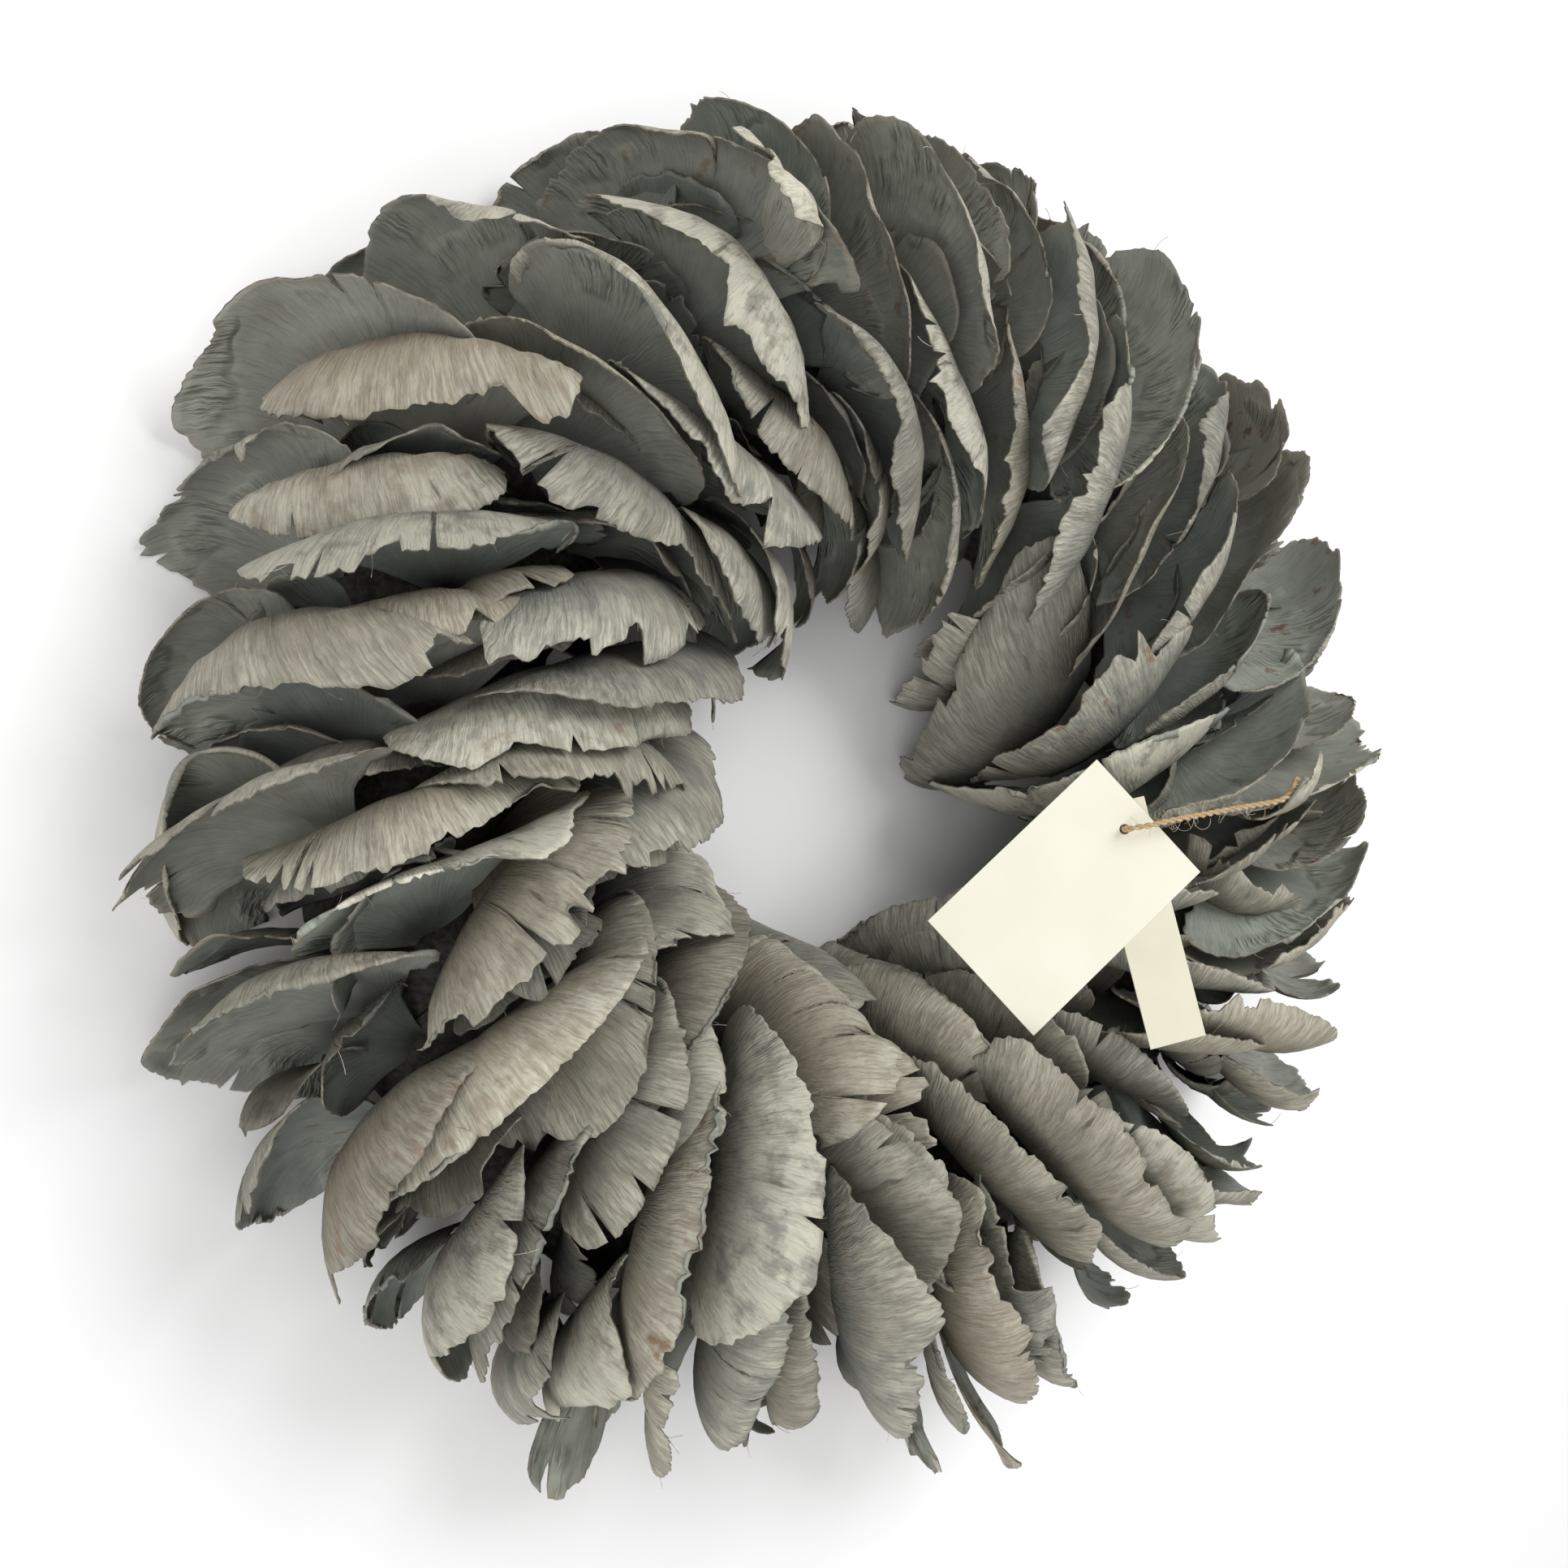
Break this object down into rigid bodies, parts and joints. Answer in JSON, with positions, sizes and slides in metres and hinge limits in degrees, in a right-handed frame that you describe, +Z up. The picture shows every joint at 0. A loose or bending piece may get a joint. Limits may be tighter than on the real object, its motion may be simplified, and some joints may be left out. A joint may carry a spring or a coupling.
{
  "type": "dried petal wreath",
  "caption": "Round natural wreath of grey dried palm petals in overlapping rows on a straw ring, with two bare paper tags on a jute twine.",
  "frame": {"origin": "under the middle of the petals' outline, on the surface that the wreath lies on", "axes": "+Z up, out of the wreath's front, along the ring's axis; +X towards the side with the paper tags; the petals' margins point anticlockwise seen from above"},
  "size_m": [0.5106, 0.5002, 0.1368],
  "materials": {
    "petal": "matt grey wash over dried plant fibre, paler on the convex backs",
    "straw": "matt bound straw",
    "paper": "uncoated off-white card, bare",
    "jute": "two-ply twisted jute"
  },
  "bodies": {
    "root": {"ring_base": "straw", "petal_row_01": "petal", "petal_row_02": "petal", "petal_row_03": "petal", "petal_row_04": "petal", "petal_row_05": "petal", "petal_row_06": "petal", "petal_row_07": "petal", "petal_row_08": "petal", "petal_row_09": "petal", "petal_row_10": "petal", "petal_row_11": "petal", "petal_row_12": "petal", "petal_row_13": "petal", "petal_row_14": "petal", "petal_row_15": "petal", "petal_row_16": "petal", "petal_row_17": "petal", "petal_row_18": "petal", "petal_row_19": "petal", "petal_row_20": "petal", "petal_row_21": "petal", "petal_row_22": "petal", "petal_row_23": "petal", "petal_row_24": "petal", "petal_row_25": "petal", "petal_row_26": "petal", "petal_row_27": "petal", "tag_card": "paper", "tag_label": "paper", "twine": "jute", "twine_knot": "jute"}
  },
  "joints": []
}
